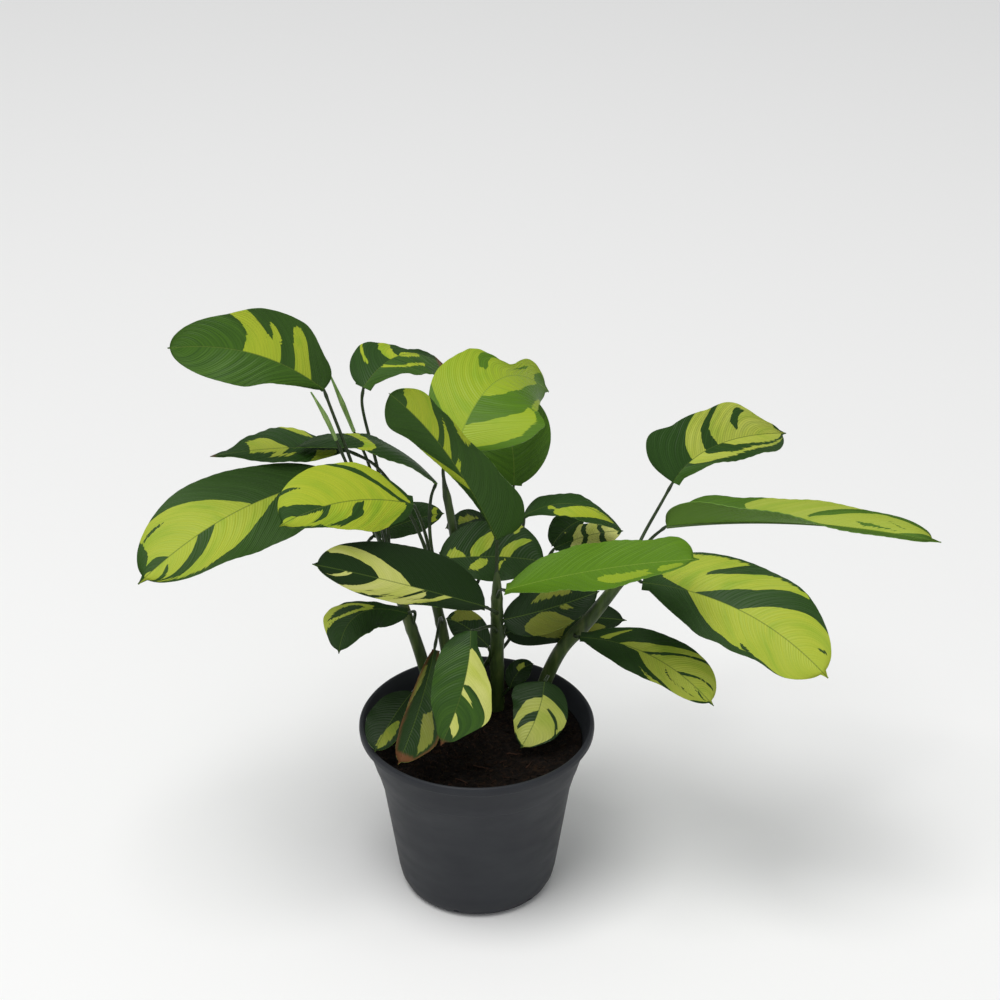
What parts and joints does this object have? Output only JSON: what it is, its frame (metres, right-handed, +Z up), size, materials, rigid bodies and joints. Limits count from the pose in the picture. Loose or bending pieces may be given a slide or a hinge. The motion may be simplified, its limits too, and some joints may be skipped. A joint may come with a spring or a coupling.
{
  "type": "potted ctenanthe",
  "caption": "Prayer plant with long-stalked oval leaves striped dark green and yellow, growing in a round dark grey nursery pot of soil.",
  "frame": {"origin": "centre of the pot's flat underside, on the surface it stands on", "axes": "+Z up, +X to the right and +Y away from the viewer as in the picture"},
  "size_m": [0.4506, 0.1954, 0.3833],
  "materials": {
    "pot": "matte moulded plastic, anthracite grey",
    "soil": "dark fibrous potting soil",
    "stem": "smooth green stalk",
    "leaf": "satin leaf, dark green with yellow-green bands",
    "young_leaf": "satin young leaf, light green"
  },
  "bodies": {
    "root": {"pot": "pot", "soil": "soil", "shoot_1": "stem", "shoot_2": "stem", "shoot_3": "stem", "shoot_4": "stem", "shoot_5": "stem", "rolled_leaf_1": "young_leaf", "rolled_leaf_2": "young_leaf", "leaf_01": "leaf", "leaf_02": "leaf", "leaf_03": "young_leaf", "leaf_04": "leaf", "leaf_05": "leaf", "leaf_06": "leaf", "leaf_07": "leaf", "leaf_08": "leaf", "leaf_09": "leaf", "leaf_10": "leaf", "leaf_11": "leaf", "leaf_12": "leaf", "leaf_13": "leaf", "leaf_14": "leaf", "leaf_15": "leaf", "leaf_16": "leaf", "leaf_17": "leaf", "leaf_18": "leaf", "leaf_19": "leaf", "leaf_20": "leaf", "leaf_21": "leaf", "leaf_22": "leaf", "leaf_23": "young_leaf", "leaf_24": "leaf", "leaf_25": "leaf", "leaf_26": "leaf", "leaf_27": "leaf", "leaf_28": "leaf", "leaf_29": "leaf", "leaf_30": "leaf"}
  },
  "joints": []
}
